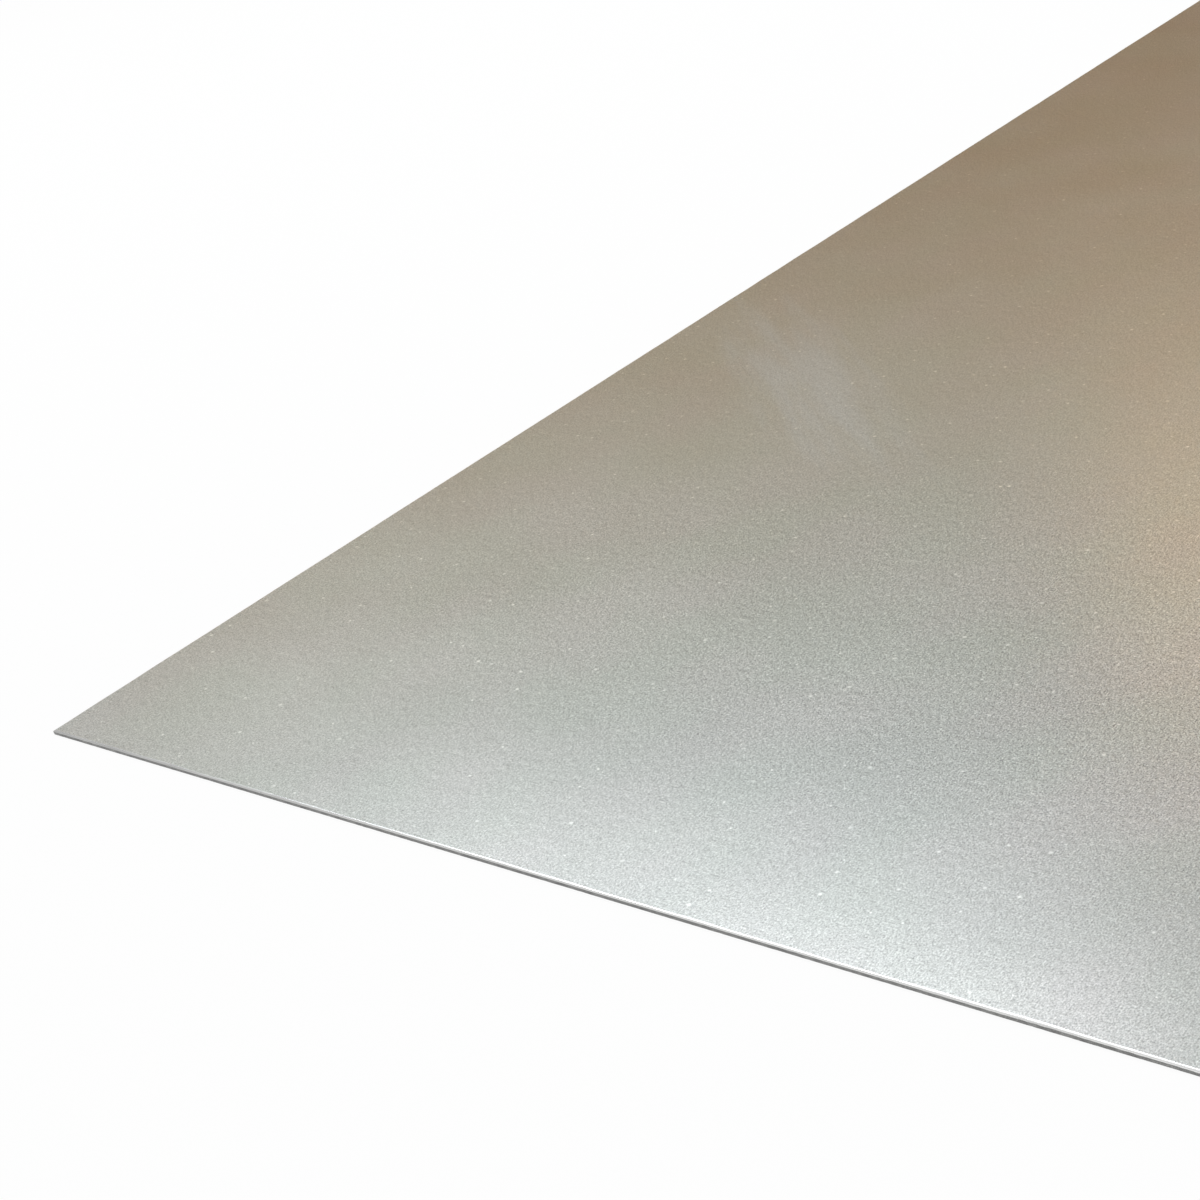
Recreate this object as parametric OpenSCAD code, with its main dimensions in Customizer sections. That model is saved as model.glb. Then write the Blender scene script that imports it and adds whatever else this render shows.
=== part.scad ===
// Cold rolled steel sheet: one flat piece of 20 gauge stock, cut square on a guillotine shear.
// It lies flat, with its origin at the centre of the underside.
// Width runs along X, length (the rolling direction) along Y, thickness along Z.
//
// A sheared edge has a section of its own, from the top face down:
//   rollover  the top corner, drawn down into a shallow arc by the upper blade
//   land      the narrow, bright, burnished band that the blade cut, upright
//   break     the dark, torn band below it, two thirds of the thickness, leaning in as it goes down

/* [Sheet] */
// Width of the sheet, 12 in
sheet_w = 304.8; // [100:0.1:1524]
// Length of the sheet, 24 in, along the rolling direction
sheet_l = 609.6; // [100:0.1:3048]
// Thickness, 20 gauge
gauge = 0.91; // [0.6:0.01:3]

/* [Sheared edge] */
// How far the rollover reaches in over the top face
rollover_w = 0.38; // [0.26:0.01:0.6]
// How far the rollover drops below the top face
rollover_h = 0.18; // [0.05:0.01:0.25]
// Height of the burnished land
land_h = 0.11; // [0.05:0.01:0.3]
// How far the break leans in by the underside
break_in = 0.06; // [0.02:0.01:0.15]

/* [Hidden] */
steel = [0.70, 0.70, 0.68];
// Radius of the rollover: an arc that leaves the top face at a tangent and ends at the land.
// It is kept to round values, so that the arc's top and the top face come out at one height.
round_to = 0.0001;
rollover_r = round((pow(rollover_w, 2) + pow(rollover_h, 2)) / (2 * rollover_h) / round_to) * round_to;
// Height of the break, whatever the rollover and the land leave of the thickness
break_h = gauge - rollover_h - land_h;
// How far a cutter runs on past the faces that it cuts
past = 1;
arc_fn = 96;

// What the rollover takes off the top corner of a section that ends at x = 0
module rollover_cut() {
    translate([-rollover_w, gauge - rollover_r]) difference() {
        square([rollover_w + past, rollover_r + past]);
        circle(r = rollover_r, $fn = arc_fn);
    }
}

// What the break takes off its bottom corner
module break_cut() {
    polygon([
        [-break_in, -past],
        [-break_in, 0],
        [0, break_h],
        [past, break_h],
        [past, -past]
    ]);
}

// The section across one direction: a plain rectangle with both of its ends sheared
module section(span) {
    difference() {
        translate([-span / 2, 0]) square([span, gauge]);
        for (end = [0, 1]) mirror([end, 0]) translate([span / 2, 0]) {
            rollover_cut();
            break_cut();
        }
    }
}

// A bar of that section along Y, longer than the sheet
module bar(span, run) {
    rotate([90, 0, 0]) linear_extrude(height = run + 2 * past, center = true) section(span);
}

// The sheet is what its two crossed bars have in common, so all four of its edges are sheared
module sheet() {
    color(steel) intersection() {
        bar(sheet_w, sheet_l);
        rotate([0, 0, 90]) bar(sheet_l, sheet_w);
    }
}

sheet();
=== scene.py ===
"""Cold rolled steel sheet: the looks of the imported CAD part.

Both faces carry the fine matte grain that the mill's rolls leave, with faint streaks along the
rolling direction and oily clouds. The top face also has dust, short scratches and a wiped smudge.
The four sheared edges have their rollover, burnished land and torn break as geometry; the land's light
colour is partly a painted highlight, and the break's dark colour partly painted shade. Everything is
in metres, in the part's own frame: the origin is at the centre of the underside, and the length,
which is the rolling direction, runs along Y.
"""
from math import atan, cos, pi, radians, sin, tau

import bmesh
import bpy
import numpy as np
from mathutils import Matrix, Vector


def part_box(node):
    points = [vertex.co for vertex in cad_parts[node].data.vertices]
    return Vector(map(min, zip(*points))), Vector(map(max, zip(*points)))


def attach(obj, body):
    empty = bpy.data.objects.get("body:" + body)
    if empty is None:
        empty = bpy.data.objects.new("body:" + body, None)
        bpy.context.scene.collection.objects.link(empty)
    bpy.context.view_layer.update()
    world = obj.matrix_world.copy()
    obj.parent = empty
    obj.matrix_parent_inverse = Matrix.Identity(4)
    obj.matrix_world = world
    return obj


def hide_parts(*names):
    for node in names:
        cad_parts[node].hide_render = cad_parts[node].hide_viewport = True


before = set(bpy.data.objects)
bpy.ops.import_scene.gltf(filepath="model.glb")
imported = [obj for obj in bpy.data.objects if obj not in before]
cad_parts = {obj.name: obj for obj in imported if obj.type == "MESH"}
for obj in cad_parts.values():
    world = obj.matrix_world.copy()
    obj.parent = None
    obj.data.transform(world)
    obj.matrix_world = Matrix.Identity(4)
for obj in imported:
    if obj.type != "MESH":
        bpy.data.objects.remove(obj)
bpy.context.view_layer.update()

MM = 0.001
LOW, HIGH = (Vector(corner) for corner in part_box("sheet"))
GAUGE = HIGH.z - LOW.z

# The section of a sheared edge, as in the part's source
ROLLOVER_W, ROLLOVER_H = 0.38 * MM, 0.18 * MM
LAND_H = 0.11 * MM
BREAK_IN = 0.06 * MM
LAND_FOOT = HIGH.z - ROLLOVER_H - LAND_H

# ---------------------------------------------------------------- camera

LENS, SENSOR = 60.0, 36.0                # in mm
NEAREST = 0.01                           # the camera sees nothing nearer than this
AIM = (0.07384, 0.07744)                 # on the top face, in from its near left corner
AIM_DISTANCE = 0.3855
VIEW_AZIMUTH, VIEW_ELEVATION, VIEW_ROLL = 43.02, 25.98, -11.94   # in degrees


def toward(azimuth, elevation):
    """The unit vector at this azimuth, counted from -Y towards +X, and this elevation, in degrees."""
    a, e = radians(azimuth), radians(elevation)
    return Vector((sin(a) * cos(e), -cos(a) * cos(e), sin(e)))


def on_top_face(place):
    """The point of the top face that lies this far in, across and along, from its near left corner."""
    return Vector((LOW.x + place[0], LOW.y + place[1], HIGH.z))


def placed(direction, roll, middle, distance):
    """Stands a camera or lamp off from middle, so that it looks back at it along direction."""
    turn = direction.to_track_quat("Z", "Y").to_matrix() @ Matrix.Rotation(radians(roll), 3, "Z")
    return Matrix.Translation(middle + direction * distance) @ turn.to_4x4()


def add_camera():
    """A close view over the near left corner, rolled a little, as a hand-held camera is."""
    data = bpy.data.cameras.new("camera")
    data.lens, data.sensor_width = LENS, SENSOR
    data.clip_start = NEAREST
    camera = bpy.data.objects.new("camera", data)
    direction = toward(VIEW_AZIMUTH, VIEW_ELEVATION)
    camera.matrix_world = placed(direction, VIEW_ROLL, on_top_face(AIM), AIM_DISTANCE)
    bpy.context.scene.collection.objects.link(camera)
    bpy.context.scene.camera = camera


# ---------------------------------------------------------------- nodes

def add_node(tree, kind, inputs=(), **settings):
    """A new node. inputs pairs an input's name or index with its value, or the socket that feeds it."""
    node = tree.nodes.new("ShaderNode" + kind)
    for name, value in settings.items():
        setattr(node, name, value)
    for key, value in dict(inputs).items():
        if isinstance(value, bpy.types.NodeSocket):
            tree.links.new(value, node.inputs[key])
        elif isinstance(value, tuple) and len(value) == 3 and len(node.inputs[key].default_value) == 4:
            node.inputs[key].default_value = (*value, 1.0)
        else:
            node.inputs[key].default_value = value
    return node


def math(tree, operation, *values, clamp=False):
    return add_node(tree, "Math", enumerate(values), operation=operation, use_clamp=clamp).outputs[0]


def vector_math(tree, operation, *values):
    return add_node(tree, "VectorMath", enumerate(values), operation=operation)


def remap(tree, value, low, high, to_low=0.0, to_high=1.0, smooth=False):
    """value, taken from the range low to high into the range to_low to to_high, and held there."""
    inputs = {"Value": value, "From Min": low, "From Max": high, "To Min": to_low, "To Max": to_high}
    kind = "SMOOTHSTEP" if smooth else "LINEAR"
    return add_node(tree, "MapRange", inputs, interpolation_type=kind).outputs["Result"]


def mix_colours(tree, share, first, second, blend="MIX"):
    inputs = {0: share, 6: first, 7: second}
    return add_node(tree, "Mix", inputs, data_type="RGBA", blend_type=blend).outputs[2]


def colour_ramp(tree, value, stops):
    """A ramp through stops, which pair a place from 0 to 1 with a colour."""
    node = add_node(tree, "ValToRGB", {"Fac": value})
    elements = node.color_ramp.elements
    while len(elements) < len(stops):
        elements.new(0.5)
    for element, (place, colour) in zip(elements, stops):
        element.position, element.color = place, (*colour, 1.0)
    return node.outputs["Color"]


def noise(tree, place, period, detail=0.0):
    """Smooth noise from 0 to 1 over place. period is how far apart its lumps are, alike or per axis."""
    spread = tuple(1 / p for p in period) if isinstance(period, tuple) else (1 / period,) * 3
    place = vector_math(tree, "MULTIPLY", place, spread).outputs[0]
    return add_node(tree, "TexNoise", {"Vector": place, "Scale": 1.0, "Detail": detail}).outputs["Fac"]


def new_tree(owner):
    owner.use_nodes = True
    owner.node_tree.nodes.clear()
    return owner.node_tree


def new_material(name):
    material = bpy.data.materials.new(name)
    tree = new_tree(material)
    place = add_node(tree, "TexCoord").outputs["Object"]
    return material, tree, place


def set_surface(tree, surface):
    output = add_node(tree, "OutputMaterial")
    tree.links.new(surface, output.inputs["Surface"])


def metal(tree, colour, roughness, relief, depth):
    """A bare metal surface with a relief, whose height from 0 to 1 is this deep."""
    bump = add_node(tree, "Bump", {"Height": relief, "Distance": depth, "Strength": 1.0})
    shader = add_node(tree, "BsdfPrincipled", {"Metallic": 1.0, "Base Color": colour,
                                               "Roughness": roughness, "Normal": bump.outputs[0]})
    set_surface(tree, shader.outputs[0])


# ---------------------------------------------------------------- rolled faces

NOISE_SPAN = (0.3, 0.7)                  # where most of a noise's values lie
STEEL = (0.56, 0.56, 0.55)
FACE_ROUGHNESS = 0.30
CLOUD_PERIOD, CLOUD_ROUGHNESS = 0.035, 0.01    # clouds of oil, and how far they shift the roughness
STREAK_PERIOD, STREAK_SHARE = (1.6 * MM, 0.16, 1.6 * MM), 0.35   # long streaks, against the clouds
SHADE_SPAN, CLOUD_SHADE = (0.4, 0.95), 0.012   # of clouds and streaks, and how far they shade the colour
TINT_PERIOD = (0.022, 0.03, 0.022)
TINTS = ((0.36, (0.98, 1.0, 0.985)), (0.64, (1.0, 0.99, 0.995)))   # faintly green to faintly pink
MOTTLE_PERIOD, MOTTLE_SHADE = 2.4 * MM, 0.11   # how far it shades the colour

# In Z, both faces lie a whole number of these periods from the origin. A slice through the noise has
# no slow swells there, so the grain stays fine and even.
GRAIN_PERIOD = (0.24 * MM, 0.36 * MM, GAUGE / 4)
RIDGE_PERIOD, RIDGE_SHARE = (0.46 * MM, 1.3 * MM, GAUGE / 2), 0.38   # short ridges, against the grain
GRAIN_DEPTH, GRAIN_SHADE = 0.0150 * MM, 1.95   # how deep it is, and how far it shades the colour
CRISP_MIDDLE, CRISP_SIZE = (0.150, 0.090), (0.32, 0.145)   # the oval where the grain is deepest
CRISP_FADE = (0.3, 1.1)                  # where it starts and ends to fade, 1 being the oval's rim
CRISP_STRENGTHS = (1.14, 0.74)           # how deep it is there and elsewhere

SMUDGE_MIDDLE, SMUDGE_SIZE, SMUDGE_TURN = (0.054, 0.185), (0.138, 0.035), -44.0
SMUDGE_STREAKS, SMUDGE_RAGGED = (0.8, 0.35, 1.0), 1.7   # in halves of its size, and their strength
SMUDGE_FADE = (1.0, 1.85)                # from the middle, in halves of its size, streaks included
SMUDGE_COLOUR, SMUDGE_ROUGHNESS = (0.573, 0.588, 0.598), 0.03   # the roughness that it adds

FLECK_COLOUR, FLECK_COVER = (0.93, 0.93, 0.91), 0.9
FLECK_STRENGTHS = (0.4, 1.1)             # of the faintest and the strongest fleck
FLECK_CORE = 0.3                         # how much of its radius is plain, before it fades
DUST_CELL = (5.2 * MM, 5.2 * MM)         # at most one speck of dust to each
DUST_SHARES = (0.35, 0.90)               # how many of them have one, at the near edge and further in
DUST_THINS = (0.01, 0.09)                # how far from the near edge that share grows
DUST_RADII, DUST_SEED = (0.03, 0.105), 3.0   # the radii in shares of a cell
SCRATCH_CELL, SCRATCH_SHARE = (4.5 * MM, 40 * MM), 0.02
SCRATCH_RADII, SCRATCH_SEED = (0.02, 0.04), 7.0


def oval(tree, place, middle, size, turn=0.0):
    """Places on the face, scaled so that an oval is a unit circle, and how far each is from its middle.

    The middle is given in from the near left corner.
    """
    inputs = {"Vector": place, "Location": (LOW.x + middle[0], LOW.y + middle[1], 0.0),
              "Rotation": (0.0, 0.0, radians(turn)), "Scale": (size[0] / 2, size[1] / 2, 1.0)}
    scaled = add_node(tree, "Mapping", inputs, vector_type="TEXTURE").outputs[0]
    return scaled, vector_math(tree, "LENGTH", scaled).outputs["Value"]


def grain_relief(tree, place):
    """Grain and faint ridges along the length, as a height about zero, deeper in one oval patch."""
    grain = noise(tree, place, GRAIN_PERIOD, detail=1.0)
    ridges = noise(tree, place, RIDGE_PERIOD, detail=1.0)
    relief = math(tree, "MULTIPLY_ADD", ridges, RIDGE_SHARE, grain)
    relief = math(tree, "SUBTRACT", relief, (1 + RIDGE_SHARE) / 2)
    distance = oval(tree, place, CRISP_MIDDLE, CRISP_SIZE)[1]
    strength = remap(tree, distance, *CRISP_FADE, *CRISP_STRENGTHS, smooth=True)
    return math(tree, "MULTIPLY", relief, strength)


def smudge(tree, place):
    """A soft, ragged mask of the hazy patch that a hand left, slanting in from the left edge."""
    scaled, distance = oval(tree, place, SMUDGE_MIDDLE, SMUDGE_SIZE, SMUDGE_TURN)
    streaks = noise(tree, scaled, SMUDGE_STREAKS, detail=2.5)
    ragged = math(tree, "MULTIPLY_ADD", streaks, SMUDGE_RAGGED, distance)
    return remap(tree, ragged, *SMUDGE_FADE, 1.0, 0.0, smooth=True)


def flecks(tree, place, cell, share, radii, seed):
    """A mask of scattered flecks on the face, at most one to a cell, on about this share of the cells."""
    spread = tuple(1 / c for c in cell)
    place = vector_math(tree, "MULTIPLY_ADD", place, (*spread, 0.0), (seed, seed, 0.0)).outputs[0]
    cells = add_node(tree, "TexVoronoi", {"Vector": place, "Scale": 1.0}, voronoi_dimensions="2D")
    draw = add_node(tree, "SeparateColor", {"Color": cells.outputs["Color"]}).outputs
    mostly_small = math(tree, "POWER", draw["Green"], 2.0)
    radius = remap(tree, mostly_small, 0.0, 1.0, *radii)
    inside = math(tree, "DIVIDE", cells.outputs["Distance"], radius)
    strength = remap(tree, draw["Blue"], 0.0, 1.0, *FLECK_STRENGTHS)
    body = remap(tree, inside, FLECK_CORE, 1.0, strength, 0.0, smooth=True)
    chosen = math(tree, "LESS_THAN", draw["Red"], share)
    return math(tree, "MULTIPLY", body, chosen)


def dust_and_scratches(tree, place, along):
    """A mask of the light marks. along is the place's Y, and the dust is thinner by the near edge."""
    dusty = remap(tree, along, LOW.y + DUST_THINS[0], LOW.y + DUST_THINS[1], *DUST_SHARES)
    dust = flecks(tree, place, DUST_CELL, dusty, DUST_RADII, DUST_SEED)
    scratches = flecks(tree, place, SCRATCH_CELL, SCRATCH_SHARE, SCRATCH_RADII, SCRATCH_SEED)
    return math(tree, "MAXIMUM", dust, scratches)


def face_shade(tree, place, clouds, relief):
    """What the steel's colour is multiplied by: clouds, streaks and a fine mottle, and the grain."""
    streaks = noise(tree, place, STREAK_PERIOD, detail=2.0)
    shade = math(tree, "MULTIPLY_ADD", streaks, STREAK_SHARE, clouds)
    shade = remap(tree, shade, *SHADE_SPAN, 1 - CLOUD_SHADE, 1 + CLOUD_SHADE)
    shade = math(tree, "MULTIPLY", shade, math(tree, "MULTIPLY_ADD", relief, GRAIN_SHADE, 1.0))
    mottle = noise(tree, place, MOTTLE_PERIOD, detail=1.0)
    mottle = math(tree, "MULTIPLY_ADD", mottle, MOTTLE_SHADE, 1 - MOTTLE_SHADE / 2)
    shade = math(tree, "MULTIPLY", shade, mottle)
    return add_node(tree, "CombineColor", {0: shade, 1: shade, 2: shade}).outputs[0]


def rolled_face():
    """The matte faces. Only the top one has dust, scratches and a smudge; the underside is plain."""
    material, tree, place = new_material("rolled_face")
    where = add_node(tree, "SeparateXYZ", {0: place}).outputs
    on_top = math(tree, "GREATER_THAN", where["Z"], (LOW.z + HIGH.z) / 2)
    wiped = math(tree, "MULTIPLY", smudge(tree, place), on_top)
    marks = math(tree, "MULTIPLY", dust_and_scratches(tree, place, where["Y"]), on_top)
    relief = grain_relief(tree, place)
    clouds = noise(tree, place, CLOUD_PERIOD, detail=3.0)

    tint = colour_ramp(tree, noise(tree, place, TINT_PERIOD, detail=1.0), TINTS)
    colour = mix_colours(tree, 1.0, STEEL, tint, "MULTIPLY")
    colour = mix_colours(tree, wiped, colour, SMUDGE_COLOUR)
    colour = mix_colours(tree, 1.0, colour, face_shade(tree, place, clouds, relief), "MULTIPLY")
    colour = mix_colours(tree, math(tree, "MULTIPLY", marks, FLECK_COVER), colour, FLECK_COLOUR)

    roughness = remap(tree, clouds, *NOISE_SPAN, FACE_ROUGHNESS - CLOUD_ROUGHNESS,
                      FACE_ROUGHNESS + CLOUD_ROUGHNESS)
    roughness = math(tree, "ADD", roughness, math(tree, "MULTIPLY", wiped, SMUDGE_ROUGHNESS))
    metal(tree, colour, roughness, relief, GRAIN_DEPTH)
    return material


# ---------------------------------------------------------------- sheared edges

LAND_LINES, LAND_DEPTH = (0.12 * MM, 0.12 * MM, 3 * MM), 0.006 * MM   # upright lines, and their depth
# bright burnished steel, lightened further as a painted highlight
LAND_AND_SHEEN_COLOURS = ((0.3, (0.86, 0.86, 0.85)), (0.7, (0.97, 0.97, 0.96)))
LAND_PATCHES, LAND_ROUGHNESS = (7 * MM, 7 * MM, 1 * MM), (0.22, 0.34)
CORNER_SHADE_REACH = (0.015, 0.130)             # how far from the near left corner the land's colour is darkened as painted shade, and no longer is
# painted shade: the darker colour of the land round the near left corner
CORNER_SHADE_COLOUR = (0.65, 0.65, 0.64)
DARK_FOOT_CORNER = (0.150, 0.240)             # how far from it the dark torn colour, partly painted shade, reaches up into the land, and no longer does
DARK_FOOT_REACH = 1.15 * LAND_H               # how far up it fades
# dark torn steel, darkened further as painted shade
TORN_AND_SHADE_COLOUR = (0.27, 0.27, 0.265)

BREAK_GRIT, BREAK_DEPTH = (0.10 * MM, 0.10 * MM, 0.16 * MM), 0.03 * MM
BREAK_RUNS, RUNS_SHARE = (1.5 * MM, 1.5 * MM, 0.6 * MM), 0.5   # longer lumps, against the grit
# the break's colours: torn steel, darkened as painted shade
BREAK_AND_SHADE_COLOURS = ((0.55, (0.18, 0.18, 0.18)), (0.75, TORN_AND_SHADE_COLOUR), (0.95, (0.42, 0.42, 0.41)))
BREAK_ROUGHNESS = (0.50, 0.68)


def burnished_land_and_painted_light():
    """The rollover and the land, which the blade drew over and rubbed bright. Their very light colour is
    partly that burnished steel and partly a painted highlight.

    Round the near left corner their colour is darkened as painted shade, and further along the dark
    torn colour, partly painted shade, reaches up into the foot of the land.
    """
    material, tree, place = new_material("burnished_land_and_painted_light")
    lines = noise(tree, place, LAND_LINES, detail=2.0)
    patches = noise(tree, place, LAND_PATCHES, detail=2.0)
    from_corner = vector_math(tree, "DISTANCE", place, (LOW.x, LOW.y, 0.0)).outputs["Value"]
    # painted shade: the land's colour darkens towards the near left corner
    out_of_corner_shade = remap(tree, from_corner, *CORNER_SHADE_REACH, 0.0, 1.0)
    colour = mix_colours(tree, out_of_corner_shade, CORNER_SHADE_COLOUR, colour_ramp(tree, lines, LAND_AND_SHEEN_COLOURS))
    up = add_node(tree, "SeparateXYZ", {0: place}).outputs["Z"]
    # the foot of the land takes the dark torn colour here, partly painted shade
    torn = remap(tree, up, LAND_FOOT, LAND_FOOT + DARK_FOOT_REACH, 1.0, 0.0)
    torn = math(tree, "MULTIPLY", torn, remap(tree, from_corner, *DARK_FOOT_CORNER, 1.0, 0.0))
    colour = mix_colours(tree, torn, colour, TORN_AND_SHADE_COLOUR)
    roughness = remap(tree, patches, *NOISE_SPAN, *LAND_ROUGHNESS)
    metal(tree, colour, roughness, lines, LAND_DEPTH)
    return material


def torn_break_and_shade():
    """The dull band below the land, where the steel tore: grainy, with a few brighter facets. Its dark
    colour is partly the torn steel's own and partly painted shade.
    """
    material, tree, place = new_material("torn_break_and_shade")
    grit = noise(tree, place, BREAK_GRIT, detail=2.0)
    runs = noise(tree, place, BREAK_RUNS, detail=2.0)
    relief = math(tree, "MULTIPLY_ADD", runs, RUNS_SHARE, grit)
    colour = colour_ramp(tree, relief, BREAK_AND_SHADE_COLOURS)
    roughness = remap(tree, grit, *NOISE_SPAN, *BREAK_ROUGHNESS)
    metal(tree, colour, roughness, relief, BREAK_DEPTH)
    return material


# ---------------------------------------------------------------- sheet

CELL = 12.7 * MM                         # the faces are cut into squares of this size
COLUMNS_IN_CELL = 21                     # columns of small faces along an edge, to each cell
ROLLOVER_ROWS, LAND_ROWS, BREAK_ROWS = 8, 3, 7
BRIGHT_ROWS = ROLLOVER_ROWS + LAND_ROWS
SAME_POINT = 0.001 * MM                  # points nearer than this to a cut lie on it

# How the section wanders along the edges, in waves between a longest and a shortest length in columns
SEED = 20
WAVES = 60                               # how many waves each wander adds up
SWELL, SWELL_WAVES = 0.09, (400, 20)     # of the rollover, as a share of its size
TEAR, TEAR_WAVES, TEAR_RIPPLES = 0.018 * MM, (300, 30), (20, 3)   # of the line between land and break
PITS, PIT_RIPPLES, PIT_WAVES = 0.012 * MM, (12, 2), (60, 12)      # in the torn surface
PIT_WAVES_SHARE = 0.6
PITS_GROWTH = 3                          # they reach their full depth a third of the way down

MAP_SCALE = 1.524                        # what a metre of a face takes up on the UV map
MAP_GAP, STRIP_WIDTH = 0.006, 0.014      # on the UV map
FACE_WIDTH = (HIGH.x - LOW.x) * MAP_SCALE


def wander(count, waves, rng):
    """Smooth noise round a closed line of count points, its mean square 1."""
    longest, shortest = waves
    place = np.arange(count) / count
    turns = rng.integers(count // longest, count // shortest, WAVES)
    phases = rng.uniform(0, tau, WAVES)
    return np.sin(tau * np.outer(place, turns) + phases).sum(1) / np.sqrt(WAVES / 2)


def outline():
    """Points round the sheet, anticlockwise: where each is, its way inwards, and each side's first."""
    corners = [(LOW.x, LOW.y), (HIGH.x, LOW.y), (HIGH.x, HIGH.y), (LOW.x, HIGH.y)]
    inwards = [(0, 1), (-1, 0), (0, -1), (1, 0)]
    points, ways, starts = [], [], []
    for side, (start, inward) in enumerate(zip(corners, inwards)):
        end = corners[(side + 1) % 4]
        run = np.subtract(end, start)
        count = round(np.abs(run).sum() / CELL) * COLUMNS_IN_CELL
        starts.append(sum(len(p) for p in points))
        points.append(start + np.outer(np.arange(count) / count, run))
        way = np.tile(np.array(inward, float), (count, 1))
        way[0] += inwards[side - 1]
        ways.append(way)
    return np.concatenate(points), np.concatenate(ways), starts


def section(count):
    """The sheared section round the sheet, as rows of insets and heights from the top face down."""
    rng = np.random.default_rng(SEED)
    swell = 1 + SWELL * wander(count, SWELL_WAVES, rng)
    drop, reach = ROLLOVER_H * swell, ROLLOVER_W * swell
    torn = LAND_FOOT + TEAR * (wander(count, TEAR_WAVES, rng) + wander(count, TEAR_RIPPLES, rng))
    insets, heights = [], []
    end = 2 * atan(ROLLOVER_H / ROLLOVER_W)
    for angle in np.linspace(0, end, ROLLOVER_ROWS + 1):
        insets.append(reach * (1 - sin(angle) / sin(end)))
        heights.append(HIGH.z - drop * (1 - cos(angle)) / (1 - cos(end)))
    for share in np.linspace(0, 1, LAND_ROWS + 1)[1:]:
        insets.append(np.zeros(count))
        heights.append(HIGH.z - drop + share * (torn - HIGH.z + drop))
    for share in np.linspace(0, 1, BREAK_ROWS + 1)[1:]:
        pits = wander(count, PIT_RIPPLES, rng) + PIT_WAVES_SHARE * wander(count, PIT_WAVES, rng)
        insets.append(BREAK_IN * share + PITS * np.abs(pits) * min(1, PITS_GROWTH * share))
        heights.append(torn * (1 - share) + LOW.z * share)
    return np.array(insets), np.array(heights)


def add_cells(mesh, rim):
    """One flat face inside the rim, cut into square cells whose outer corners are points of the rim."""
    face = mesh.faces.new(rim)
    face.normal_update()
    cells = [face]
    for axis, low, high in ((0, LOW.x, HIGH.x), (1, LOW.y, HIGH.y)):
        across = Vector((axis == 0, axis == 1, 0))
        for place in np.linspace(low, high, round((high - low) / CELL) + 1)[1:-1]:
            touched = {v for f in cells for v in f.verts} | {e for f in cells for e in f.edges}
            cut = bmesh.ops.bisect_plane(mesh, geom=[*cells, *touched], dist=SAME_POINT,
                                         plane_co=across * place, plane_no=across)
            cells = [part for part in cut["geom"] if isinstance(part, bmesh.types.BMFace)]
    return cells


def lay_out_faces(layer, faces, left, mirrored):
    """Places flat faces on the UV map as they lie, with their left side there, seen from outside."""
    for face in faces:
        for corner in face.loops:
            x = HIGH.x - corner.vert.co.x if mirrored else corner.vert.co.x - LOW.x
            corner[layer].uv = left + x * MAP_SCALE, MAP_GAP + (corner.vert.co.y - LOW.y) * MAP_SCALE


def strip_corners():
    """Where each side's strip starts on the UV map, beside the faces. The short sides share a column."""
    lefts = [3 * MAP_GAP + 2 * FACE_WIDTH + n * (STRIP_WIDTH + MAP_GAP) for n in (0, 1, 0, 2)]
    above = MAP_GAP + (FACE_WIDTH + MAP_GAP)
    return zip(lefts, (MAP_GAP, MAP_GAP, above, MAP_GAP))


def add_edges(mesh, layer, rows, starts, across):
    """Small faces round the sheared edges. across is how far each row lies from its strip's left."""
    count = len(rows[0])
    step = MAP_SCALE * CELL / COLUMNS_IN_CELL
    for start, stop, (left, bottom) in zip(starts, [*starts[1:], count], strip_corners()):
        for column in range(start, stop):
            after = (column + 1) % count
            low_v = bottom + (column - start) * step
            for row in range(len(rows) - 1):
                face = mesh.faces.new((rows[row][column], rows[row + 1][column],
                                       rows[row + 1][after], rows[row][after]))
                face.smooth = True
                face.material_index = 2 if row >= BRIGHT_ROWS else 1
                for corner, (u, v) in zip(face.loops, ((row, 0), (row + 1, 0), (row + 1, 1), (row, 1))):
                    corner[layer].uv = left + across[u], low_v + v * step


def sharpen(mesh, rows, starts):
    """Keeps the upright corners and the line between land and break crisp."""
    for column in starts:
        for upper, lower in zip(rows, rows[1:]):
            mesh.edges.get((upper[column], lower[column])).smooth = False
    crease = rows[BRIGHT_ROWS]
    for first, second in zip(crease, crease[1:] + crease[:1]):
        mesh.edges.get((first, second)).smooth = False


def build_sheet():
    """The sheet as one mesh: cells on both faces, and small faces round the sheared edges."""
    points, ways, starts = outline()
    insets, heights = section(len(points))
    mesh = bmesh.new()
    rows = []
    for inset, level in zip(insets, heights):
        places = points + ways * inset[:, None]
        rows.append([mesh.verts.new((x, y, z)) for (x, y), z in zip(places, level)])
    top = add_cells(mesh, rows[0])
    underside = add_cells(mesh, rows[-1][::-1])
    layer = mesh.loops.layers.uv.new("OFBake")
    lay_out_faces(layer, top, MAP_GAP, False)
    lay_out_faces(layer, underside, 2 * MAP_GAP + FACE_WIDTH, True)
    depth = np.hypot(np.diff(insets.mean(1)), np.diff(heights.mean(1))).cumsum()
    add_edges(mesh, layer, rows, starts, np.concatenate([[0], depth]) / depth[-1] * STRIP_WIDTH)
    sharpen(mesh, rows, starts)
    data = bpy.data.meshes.new("rolled_sheet")
    mesh.to_mesh(data)
    mesh.free()
    return data


def add_sheet():
    data = build_sheet()
    for material in (rolled_face(), burnished_land_and_painted_light(), torn_break_and_shade()):
        data.materials.append(material)
    sheet = bpy.data.objects.new("rolled_sheet", data)
    bpy.context.scene.collection.objects.link(sheet)
    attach(sheet, "root")
    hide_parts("sheet")


# ---------------------------------------------------------------- studio

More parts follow.
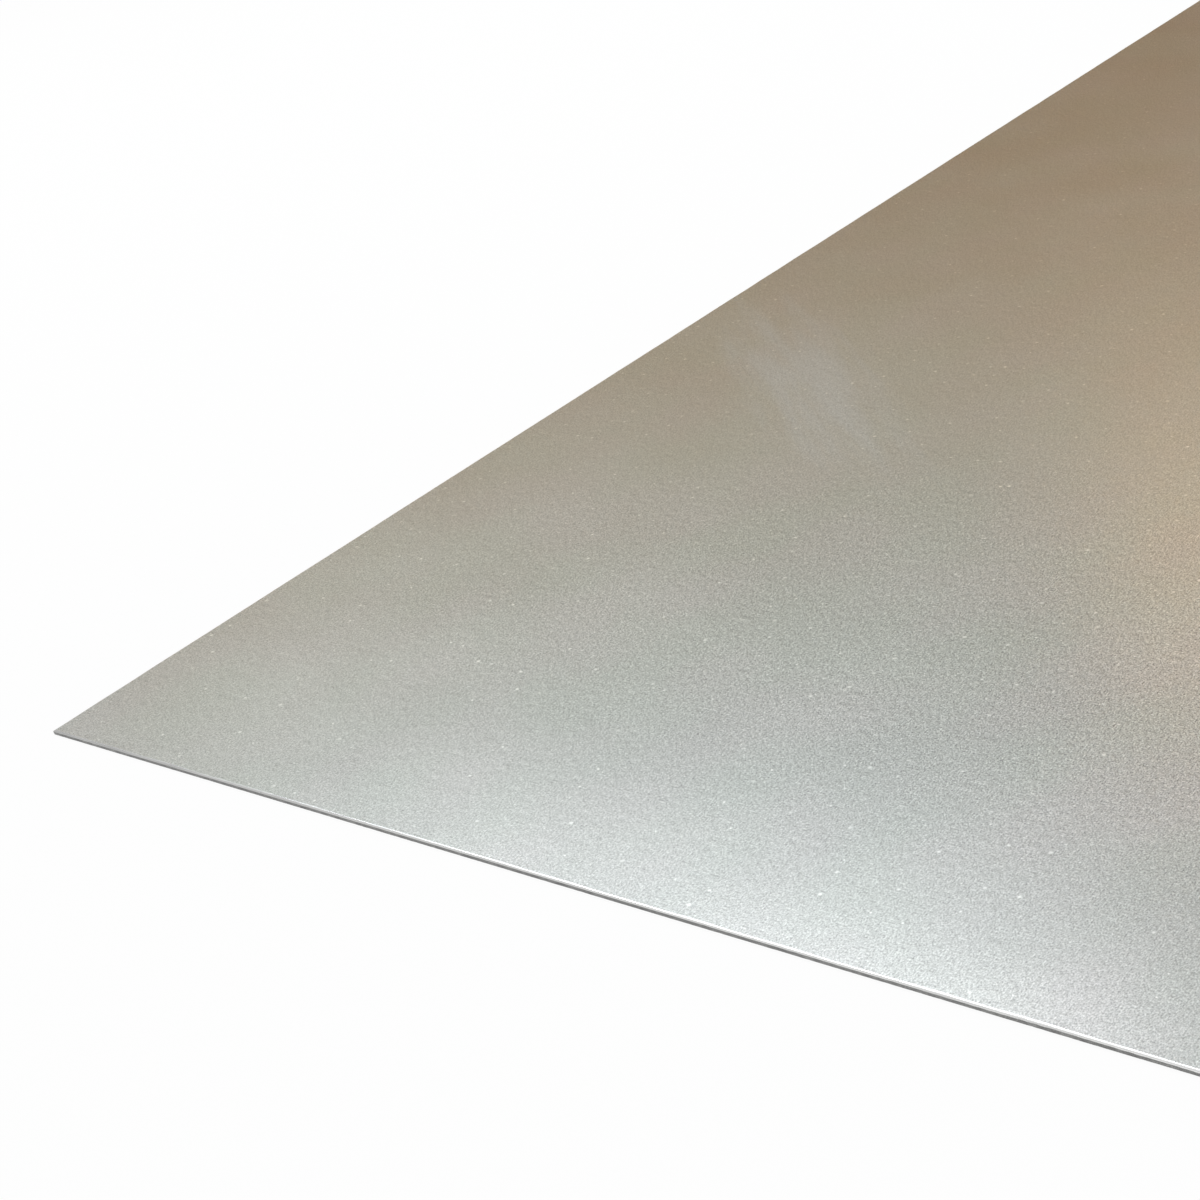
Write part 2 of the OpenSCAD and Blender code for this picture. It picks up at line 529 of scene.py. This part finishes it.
# Colours of the room and its wall at these elevations, in degrees
ROOM_COLOURS = ((2.0, (0.98, 0.98, 0.98)), (10.0, (0.78, 0.78, 0.78)), (35.0, (0.58, 0.58, 0.58)),
                (90.0, (0.88, 0.88, 0.88)))
WALL_COLOURS = ((0.0, (0.26, 0.10, 0.00)), (14.0, (0.18, 0.09, 0.02)), (22.0, (0.79, 0.44, 0.15)),
                (26.0, (0.67, 0.88, 0.76)), (31.0, (0.30, 0.40, 0.50)))
WALL_AZIMUTH = 40.0                      # where it stands, counted from +Y towards -X, as the lamps are
WALL_HALF_ANGLE, WALL_FADE = 18.5, 5.0
WALL_TOP, WALL_TOP_FADE = 30.0, 10.0
PANEL_AZIMUTH, PANEL_ELEVATION = 82.0, 27.0   # counted as the camera's are
PANEL_CORE, PANEL_EDGE = 4.0, 33.0       # how far from its middle it is plain, and gone, in degrees
PANEL_COLOUR = (1.30, 1.31, 1.33)

LAMPS_AIM = (0.072, 0.105)               # on the top face, in from its near left corner
LAMP_DISTANCE = 1.3
WINDOW_AZIMUTH, WINDOW_ELEVATION, WINDOW_ROLL = 51.5, 55.6, -25.0
WINDOW_SIZE, WINDOW_RADIANCE = (0.68, 0.545), (3.61, 3.80, 3.93)
GLOW_AZIMUTH, GLOW_ELEVATION, GLOW_ROLL = 18.8, 29.3, 0.0
GLOW_SIZE, GLOW_RADIANCE = (0.11, 0.09), (2.35, 1.01, 0.02)

FLOOR_HALF, FLOOR_GAP = 60.0, 0.02 * MM  # half its width, and how far it lies below the sheet
FLOOR_COLOUR, FLOOR_LIGHT = (0.9, 0.9, 0.9), (1.0, 1.0, 1.0)
FLOOR_WHITENESS = 0.93                   # how much plain white is mixed in, where it is seen


def height(elevation):
    """How high a unit vector at this elevation in degrees reaches."""
    return sin(radians(elevation))


def elevation_colours(tree, up, colours):
    return colour_ramp(tree, up, tuple((height(elevation), colour) for elevation, colour in colours))


def wall_mask(tree, direction, up):
    """Where the tan wall stands, fading out at its sides and its top."""
    level = vector_math(tree, "MULTIPLY", direction, (1, 1, 0)).outputs[0]
    level = vector_math(tree, "NORMALIZE", level).outputs[0]
    a = radians(WALL_AZIMUTH)
    facing = vector_math(tree, "DOT_PRODUCT", level, (-sin(a), cos(a), 0)).outputs["Value"]
    across = remap(tree, facing, cos(radians(WALL_HALF_ANGLE + WALL_FADE)),
                   cos(radians(WALL_HALF_ANGLE)), smooth=True)
    below = remap(tree, up, height(WALL_TOP), height(WALL_TOP + WALL_TOP_FADE), 1.0, 0.0, smooth=True)
    return math(tree, "MULTIPLY", across, below)


def panel_mask(tree, direction):
    """Where the pale panel on the right is, fading out all round."""
    middle = tuple(toward(PANEL_AZIMUTH, PANEL_ELEVATION))
    near = vector_math(tree, "DOT_PRODUCT", direction, middle).outputs["Value"]
    return remap(tree, near, cos(radians(PANEL_EDGE)), cos(radians(PANEL_CORE)), smooth=True)


def add_world():
    """A pale room, with a soft tan wall low down beyond the sheet and a pale panel on the right."""
    world = bpy.data.worlds.new("studio")
    tree = new_tree(world)
    direction = add_node(tree, "TexCoord").outputs["Generated"]
    up = add_node(tree, "SeparateXYZ", {0: direction}).outputs["Z"]
    room, wall = (elevation_colours(tree, up, colours) for colours in (ROOM_COLOURS, WALL_COLOURS))
    colour = mix_colours(tree, wall_mask(tree, direction, up), room, wall)
    colour = mix_colours(tree, panel_mask(tree, direction), colour, PANEL_COLOUR)
    background = add_node(tree, "Background", {"Color": colour})
    output = add_node(tree, "OutputWorld")
    tree.links.new(background.outputs[0], output.inputs["Surface"])
    bpy.context.scene.world = world


def add_lamp(name, azimuth, elevation, roll, size, radiance):
    """A rectangular lamp that faces the sheet. radiance is the colour that a mirror would show of it."""
    data = bpy.data.lights.new(name, "AREA")
    data.shape = "RECTANGLE"
    data.size, data.size_y = size
    peak = max(radiance)
    data.color = [c / peak for c in radiance]
    data.energy = peak * pi * size[0] * size[1]
    lamp = bpy.data.objects.new(name, data)
    direction = toward(180 + azimuth, elevation)
    lamp.matrix_world = placed(direction, roll, on_top_face(LAMPS_AIM), LAMP_DISTANCE)
    bpy.context.scene.collection.objects.link(lamp)


def add_floor():
    """A white floor, which keeps a faint shadow of the sheet."""
    mesh = bpy.data.meshes.new("floor")
    level = LOW.z - FLOOR_GAP
    corners = [(x * FLOOR_HALF, y * FLOOR_HALF, level) for x, y in ((-1, -1), (1, -1), (1, 1), (-1, 1))]
    mesh.from_pydata(corners, [], [(0, 1, 2, 3)])
    floor = bpy.data.objects.new("floor", mesh)
    bpy.context.scene.collection.objects.link(floor)
    material = bpy.data.materials.new("white_floor")
    tree = new_tree(material)
    path = add_node(tree, "LightPath").outputs
    seen = math(tree, "ADD", path["Is Camera Ray"], path["Is Glossy Ray"])
    seen = math(tree, "ADD", seen, path["Is Transmission Ray"], clamp=True)
    paint = add_node(tree, "BsdfDiffuse", {"Color": FLOOR_COLOUR})
    white = add_node(tree, "Emission", {"Color": FLOOR_LIGHT, "Strength": 1.0})
    share = math(tree, "MULTIPLY", seen, FLOOR_WHITENESS)
    mixed = add_node(tree, "MixShader", {0: share, 1: paint.outputs[0], 2: white.outputs[0]})
    set_surface(tree, mixed.outputs[0])
    mesh.materials.append(material)


add_camera()
add_world()
add_lamp("window", WINDOW_AZIMUTH, WINDOW_ELEVATION, WINDOW_ROLL, WINDOW_SIZE, WINDOW_RADIANCE)
add_lamp("glow", GLOW_AZIMUTH, GLOW_ELEVATION, GLOW_ROLL, GLOW_SIZE, GLOW_RADIANCE)
add_floor()
add_sheet()

bpy.context.scene.view_settings.view_transform = "Standard"
